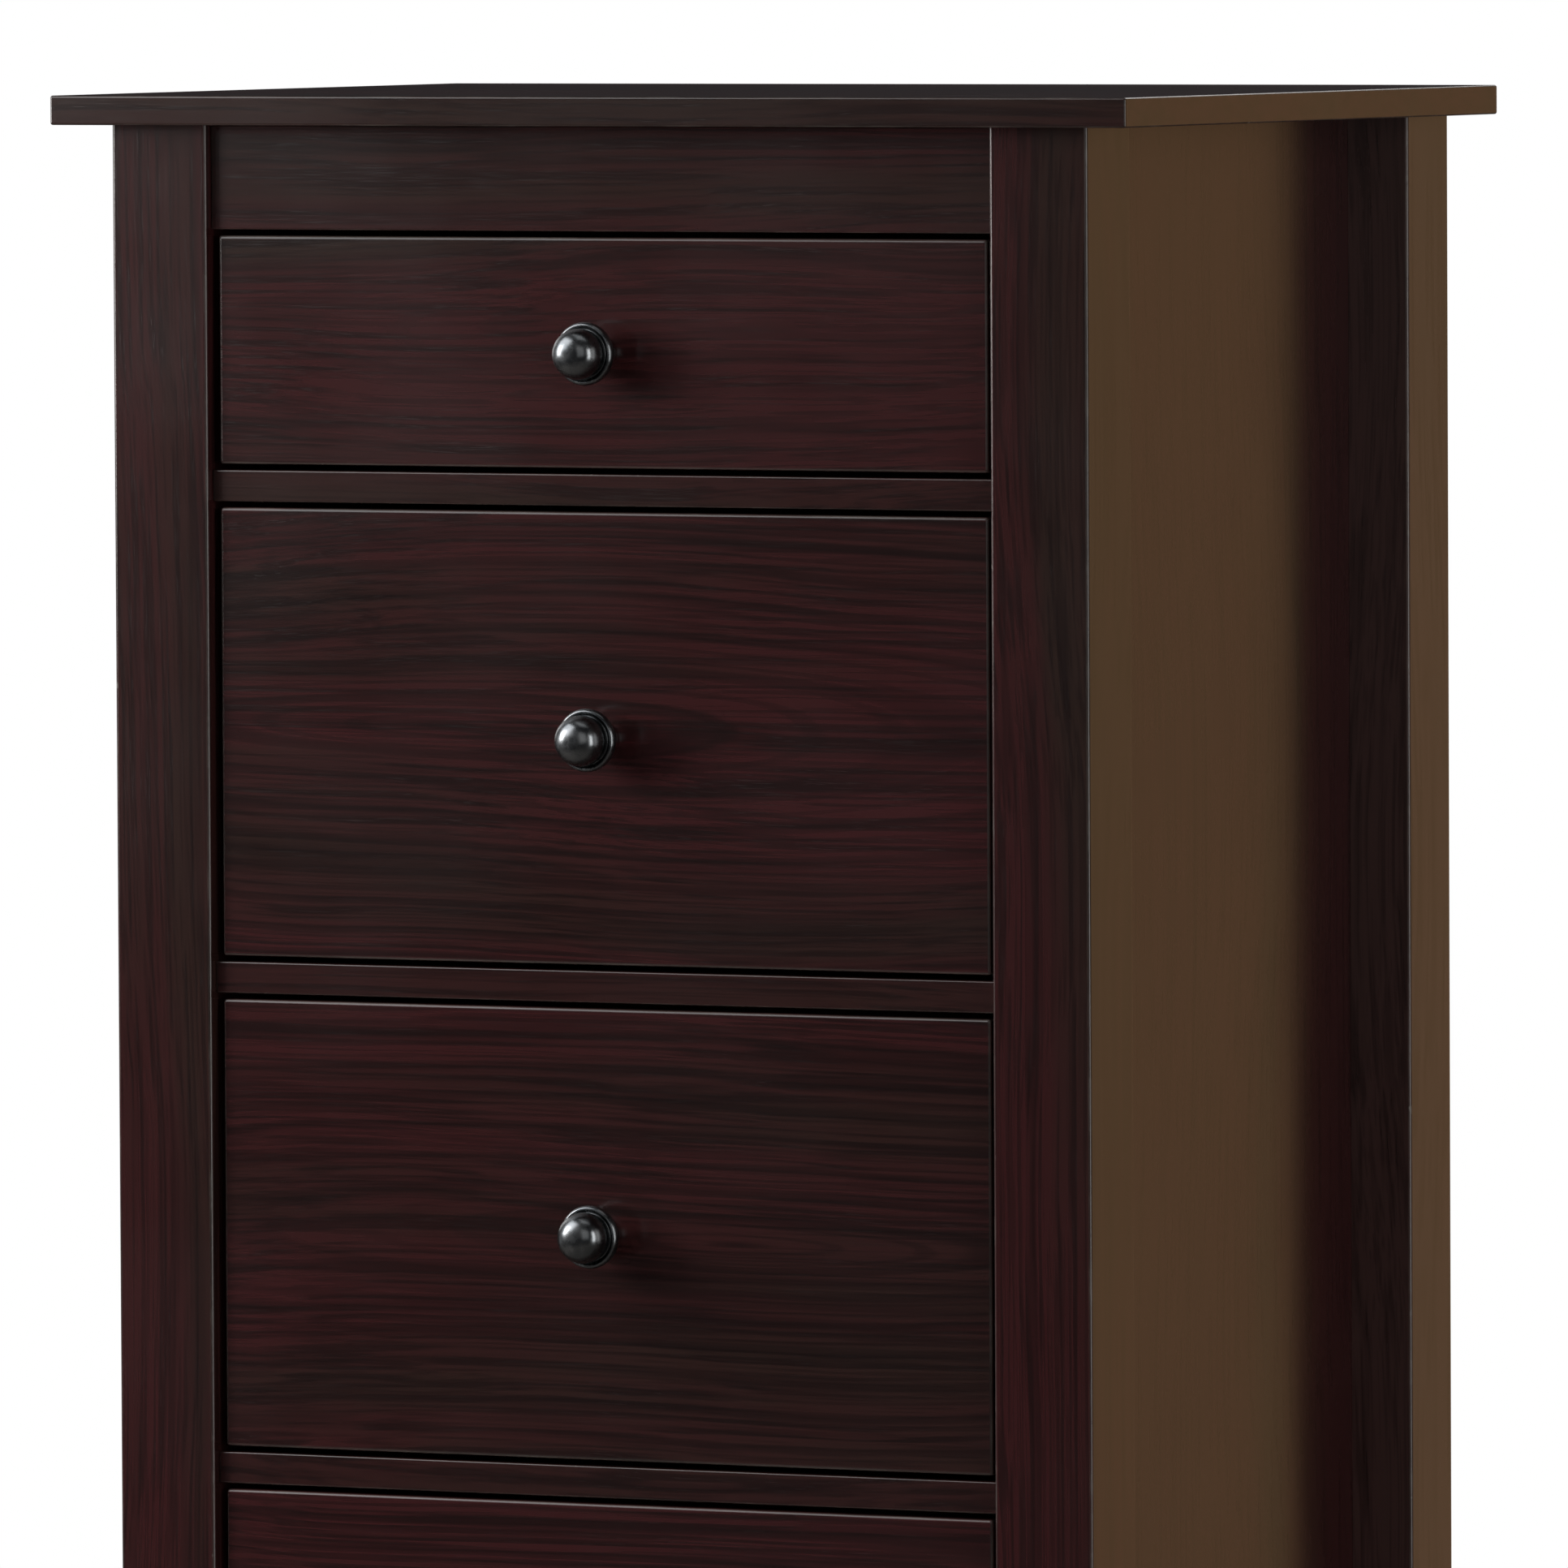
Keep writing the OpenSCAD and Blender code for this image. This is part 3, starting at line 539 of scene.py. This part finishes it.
def knob_outline(radius, height):
    """Half section of the knob as (radius, height) points from the drawer front to the tip, worked out in
    parts of the knob's radius and height. The waist narrows by a sine, the flare opens by a quarter
    ellipse, the rim is a half round, and the ball an ellipse about 0.63 of the height, whose cosine and
    sine are raised to 0.82 above its middle to square it a little."""
    t = np.linspace(0, 1, 17)[1:]
    foot = np.array([(0.0, 0.0), (0.52, 0.0), (0.55, 0.012), (0.55, 0.04), (0.53, 0.055)])
    waist = np.column_stack([0.53 - 0.18 * np.sin(np.pi / 2 * t), 0.055 + 0.145 * t])
    flare = np.column_stack([0.35 + 0.54 * (1 - np.cos(np.pi / 2 * t)),
                             0.20 + 0.20 * np.sin(np.pi / 2 * t)])
    a = np.linspace(-1.7, 1.9, 21)
    rim = np.column_stack([0.905 + 0.095 * np.cos(a), 0.455 + 0.08 * np.sin(a)])
    dish = np.array([(0.86, 0.495), (0.83, 0.478), (0.78, 0.470), (0.72, 0.470)])
    a = np.radians(np.concatenate([np.linspace(-25, 0, 9), np.linspace(0, 90, 41)[1:]]))
    full = np.where(a > 0, 0.82, 1.0)
    ball = np.column_stack([0.80 * np.cos(a) ** full,
                            0.63 + 0.37 * np.sign(a) * np.abs(np.sin(a)) ** full])
    ball[-1, 0] = 0.0
    return np.vstack([foot, waist, flare, rim, dish, ball]) * (radius, height)


def pewter_plate(name):
    """Dark pewter plating: near-black grey metal, cloudy, with fine dark specks."""
    dark, pale, speck = (0.120, 0.128, 0.135, 1), (0.185, 0.192, 0.198, 1), (0.05, 0.05, 0.05, 1)
    material, tree, place = fresh_material(name)
    clouds = grain_noise(tree, place, (160.0, 160.0, 160.0), 3.0)
    specks = grain_noise(tree, place, (1500.0, 1500.0, 1500.0), 2.0)
    colour = tint(tree, remap(tree, clouds, 0.3, 0.7), dark, pale)
    colour = tint(tree, remap(tree, specks, 0.66, 0.75, 0.0, 0.5), colour, speck)
    rough = maths(tree, "ADD", remap(tree, clouds, 0.3, 0.7, 0.20, 0.27),
                  maths(tree, "MULTIPLY", specks, 0.06))
    finish_material(tree, {"Base Color": colour, "Metallic": 1.0, "Roughness": rough},
                    specks, 0.00002, 0.25)
    return material


def turned_knob(name, node):
    """The knob's half section swept round the screw's axis, which runs along Y from the front."""
    low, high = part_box(node)
    middle = (low + high) / 2
    outline = knob_outline((high.x - low.x) / 2, high.y - low.y)
    turn = np.linspace(0, 2 * np.pi, KNOB_TURNS, endpoint=False)
    x = middle.x + outline[:, :1] * np.cos(turn)
    z = middle.z + outline[:, :1] * np.sin(turn)
    y = high.y - np.repeat(outline[:, 1:], KNOB_TURNS, axis=1)
    _, quads = ring_quads(*x.shape)
    return mesh_piece(name, np.stack([x, y, z], -1).reshape(-1, 3), quads)


pewter = pewter_plate("pewter_plate")
for i in range(1, 6):
    knob = turned_knob(f"drawer_{i}_knob_turned", f"drawer_{i}_knob")
    knob.data.materials.append(pewter)
    dress(knob, f"drawer_{i}_knob", f"drawer_{i}")

# ---------------------------------------------------------------- jewellery lining
# The shallow drawer has a sheet of deep red felt glued to its bottom, and dividers of thin board
# covered in the same felt, which stand on it.


def red_felt(name):
    """Pressed wool felt: a mat of fine fibres, a soft sheen and a slightly uneven dye."""
    dark, pale, shade = (0.085, 0.006, 0.014, 1), (0.185, 0.016, 0.030, 1), (0.060, 0.004, 0.010, 1)
    material, tree, place = fresh_material(name)
    fibres = grain_noise(tree, place, (1400.0, 1400.0, 1400.0), 4.0, 0.7)
    tufts = grain_noise(tree, place, (260.0, 260.0, 260.0), 3.0)
    colour = tint(tree, remap(tree, fibres, 0.3, 0.7), dark, pale)
    colour = tint(tree, remap(tree, tufts, 0.40, 0.65, 0.0, 0.3), colour, shade)
    height = maths(tree, "ADD", fibres, maths(tree, "MULTIPLY", tufts, 0.6))
    finish_material(tree, {"Base Color": colour, "Roughness": 0.95, "Sheen Weight": 0.5,
                           "Sheen Roughness": 0.4, "Sheen Tint": (0.9, 0.45, 0.5, 1)}, height, 0.0004, 0.7)
    return material


FELT_SHEET = 0.0011     # thickness of the sheet on the bottom
FELT_SWELL = 0.0003     # how far its face rises and falls
FELT_POINTS = 121       # points along each side of it


def laid_sheet(name, node, thickness, lift):
    """A sheet that lies on the drawer bottom: height = top - lift * (1.6 + swell) / 3.2, with swell the
    sum of two products of sines of x and y, which stays within 1.6. Its thickness is given downwards."""
    low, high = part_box(node)
    x, y = np.meshgrid(np.linspace(low.x, high.x, FELT_POINTS), np.linspace(low.y, high.y, FELT_POINTS),
                       indexing="ij")
    swell = np.sin(31 * x + 5 * y) * np.sin(23 * y - 9 * x) + 0.6 * np.sin(67 * x) * np.sin(71 * y)
    z = high.z - lift * (1.6 + swell) / 3.2
    sheet = mesh_piece(name, np.stack([x, y, z], -1).reshape(-1, 3), grid_quads(*x.shape))
    solid = sheet.modifiers.new("thickness", "SOLIDIFY")
    solid.thickness, solid.offset = thickness, -1.0
    return sheet


felt = red_felt("red_felt")
lining = laid_sheet("drawer_1_felt_lining", "drawer_1_felt", FELT_SHEET, FELT_SWELL)
lining.data.materials.append(felt)
dress(lining, "drawer_1_felt", "drawer_1")

DIVIDER_BOARD = 0.005   # thickness of a covered divider
DIVIDER_EDGE = 0.0022   # radius of its felt-covered edges
CELLS_ACROSS = 4        # cells from side to side, in two rows

divider_low, divider_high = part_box("drawer_1_dividers")
cell_width = (divider_high.x - divider_low.x - (CELLS_ACROSS - 1) * DIVIDER_BOARD) / CELLS_ACROSS
middle_y = (divider_low.y + divider_high.y) / 2
near_y, far_y = middle_y - DIVIDER_BOARD / 2, middle_y + DIVIDER_BOARD / 2
plans = [((divider_low.x, near_y), (divider_high.x, far_y))]
for k in range(1, CELLS_ACROSS):
    x = divider_low.x + k * cell_width + (k - 1) * DIVIDER_BOARD
    plans.append(((x, divider_low.y), (x + DIVIDER_BOARD, near_y - GROOVE_PLAY)))
    plans.append(((x, far_y + GROOVE_PLAY), (x + DIVIDER_BOARD, divider_high.y)))
shells = [eased_shell((*a, divider_low.z), (*b, divider_high.z), DIVIDER_EDGE) for a, b in plans]
points, quads = joined([(points, quads) for points, quads, _, _ in shells])
normals = np.vstack([normals for _, _, normals, _ in shells])
dividers = mesh_piece("drawer_1_dividers_covered", points, quads, (normals, ()))
dividers.data.materials.append(felt)
dress(dividers, "drawer_1_dividers", "drawer_1")

# ---------------------------------------------------------------- studio
# A pale floor that fades out towards its rim, softboxes at the left, at the right, in front, above and
# behind, and a dim room whose walls reflect warm at the back right and pale grey at the left.

FLOOR_RADIUS = 3.9
FLOOR_FADE = 1.4, 3.8   # where the floor starts to fade and where it is gone, from the middle
CHEST_MIDDLE = (0.0, -0.15, 0.95)    # what a softbox is aimed at,
TOP_DRAWER = (0.0, -0.2, 1.18)       # if not at the front of the top drawer
SECOND_DRAWER = (0.0, -0.2, 1.0)     # or of the one below it


def pale_floor():
    """A flat disc that turns clear towards its rim, and looks darker in reflections."""
    bpy.ops.mesh.primitive_circle_add(vertices=128, radius=FLOOR_RADIUS, fill_type="NGON",
                                      location=(0, 0, 0))
    floor = bpy.context.object
    floor.name = "floor"
    material, tree, place = fresh_material("pale_floor")
    flat = wire(tree, "ShaderNodeVectorMath", {0: place, 1: (1, 1, 0)}, operation="MULTIPLY").outputs[0]
    away = wire(tree, "ShaderNodeVectorMath", {0: flat}, operation="LENGTH").outputs["Value"]
    cover = remap(tree, away, *FLOOR_FADE, 1.0, 0.0)
    mirrored = wire(tree, "ShaderNodeLightPath").outputs["Is Glossy Ray"]
    pale = tint(tree, mirrored, (0.86, 0.86, 0.86, 1), (0.16, 0.15, 0.14, 1))
    diffuse = wire(tree, "ShaderNodeBsdfDiffuse", {"Color": pale}).outputs[0]
    clear = wire(tree, "ShaderNodeBsdfTransparent").outputs[0]
    mixed = wire(tree, "ShaderNodeMixShader", {0: cover, 1: clear, 2: diffuse}).outputs[0]
    wire(tree, "ShaderNodeOutputMaterial", {"Surface": mixed})
    floor.data.materials.append(material)


def soft_light(name, direction, distance, size, power, colour, aim=CHEST_MIDDLE):
    """A softbox that many metres from aim along direction, turned to face it, of that size and wattage."""
    lamp = bpy.data.lights.new(name, "AREA")
    lamp.shape, lamp.size, lamp.size_y = "RECTANGLE", size[0], size[1]
    lamp.energy, lamp.color = power, colour
    thing = bpy.data.objects.new(name, lamp)
    bpy.context.scene.collection.objects.link(thing)
    way = Vector(direction).normalized()
    thing.location = Vector(aim) + way * distance
    thing.rotation_euler = (-way).to_track_quat("-Z", "Y").to_euler()
    thing.visible_camera = False


def studio_room():
    """A white surround for the camera. For light and reflections it is a dim room with two broad glows.
    Each is a smooth step of the cosine between the sight line and the glow's middle, and fades out as
    the sight line leaves the horizon."""
    world = bpy.data.worlds.new("studio")
    bpy.context.scene.world = world
    world.use_nodes = True
    tree = world.node_tree
    tree.nodes.clear()
    way = wire(tree, "ShaderNodeTexCoord").outputs["Generated"]
    dim, warm, pale = (0.026, 0.026, 0.028, 1), (0.53, 0.315, 0.155, 1), (0.40, 0.40, 0.40, 1)
    colour = dim
    height = wire(tree, "ShaderNodeSeparateXYZ", {"Vector": way}).outputs["Z"]
    low_enough = remap(tree, maths(tree, "ABSOLUTE", height, 0.0), 0.20, 0.42, 1.0, 0.0)
    for middle, start, full, glow in (
        ((0.46, 0.88, 0.0), 0.66, 0.90, warm),      # wall at the back right
        ((-1.00, 0.15, 0.1), 0.78, 0.95, pale),     # wall at the left
    ):
        aim = tuple(Vector(middle).normalized())
        facing = wire(tree, "ShaderNodeVectorMath", {0: way, 1: aim}, operation="DOT_PRODUCT")
        amount = remap(tree, facing.outputs["Value"], start, full)
        colour = tint(tree, maths(tree, "MULTIPLY", amount, low_enough), colour, glow)
    room = wire(tree, "ShaderNodeBackground", {"Color": colour, "Strength": 1.0}).outputs[0]
    white = wire(tree, "ShaderNodeBackground", {"Color": (1, 1, 1, 1), "Strength": 1.0}).outputs[0]
    seen = wire(tree, "ShaderNodeLightPath").outputs["Is Camera Ray"]
    both = wire(tree, "ShaderNodeMixShader", {0: seen, 1: room, 2: white}).outputs[0]
    wire(tree, "ShaderNodeOutputWorld", {"Surface": both})


def studio_camera(yaw, pitch, roll, distance, lens, aim):
    """A long lens turned right of the front by yaw and looking down by pitch, in degrees, at aim."""
    yaw, pitch, roll = np.radians([yaw, pitch, roll])
    ahead = Vector((-np.sin(yaw) * np.cos(pitch), np.cos(yaw) * np.cos(pitch), -np.sin(pitch)))
    right = Vector((np.cos(yaw), np.sin(yaw), 0))
    up = right.cross(ahead)
    right, up = right * np.cos(roll) + up * np.sin(roll), up * np.cos(roll) - right * np.sin(roll)
    lens_data = bpy.data.cameras.new("camera")
    lens_data.lens, lens_data.sensor_width, lens_data.clip_end = lens, 36.0, 100.0
    camera = bpy.data.objects.new("camera", lens_data)
    bpy.context.scene.collection.objects.link(camera)
    turn = Matrix((right, up, -ahead)).transposed()
    camera.matrix_world = Matrix.Translation(Vector(aim) - ahead * distance) @ turn.to_4x4()
    bpy.context.scene.camera = camera


pale_floor()
soft_light("key", direction=(-0.84, -0.54, 0.15), distance=2.3, size=(0.8, 1.0), power=42,
           colour=(1.0, 0.98, 0.96), aim=TOP_DRAWER)
soft_light("umbrella", direction=(-0.66, -0.51, 0.55), distance=2.3, size=(1.8, 1.8), power=39,
           colour=(0.97, 0.98, 1.0), aim=SECOND_DRAWER)
soft_light("fill", direction=(0.97, -0.27, 0.08), distance=3.4, size=(1.0, 2.4), power=40,
           colour=(1.0, 0.99, 0.97))
soft_light("front", direction=(0.42, -0.90, 0.25), distance=3.8, size=(2.4, 2.4), power=11,
           colour=(1.0, 0.99, 0.97))
soft_light("over", direction=(0.1, 0.1, 1.0), distance=2.6, size=(2.2, 2.2), power=12,
           colour=(1.0, 1.0, 1.0))
soft_light("behind", direction=(0.15, 0.80, 0.60), distance=3.4, size=(2.0, 1.2), power=20,
           colour=(1.0, 0.98, 0.95))
studio_room()
front_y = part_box("front_post_right")[0].y
studio_camera(yaw=26.67, pitch=2.97, roll=-0.29, distance=9.074, lens=416.8,
              aim=(0.1057, front_y, 0.9336))
bpy.context.scene.view_settings.view_transform = "Standard"
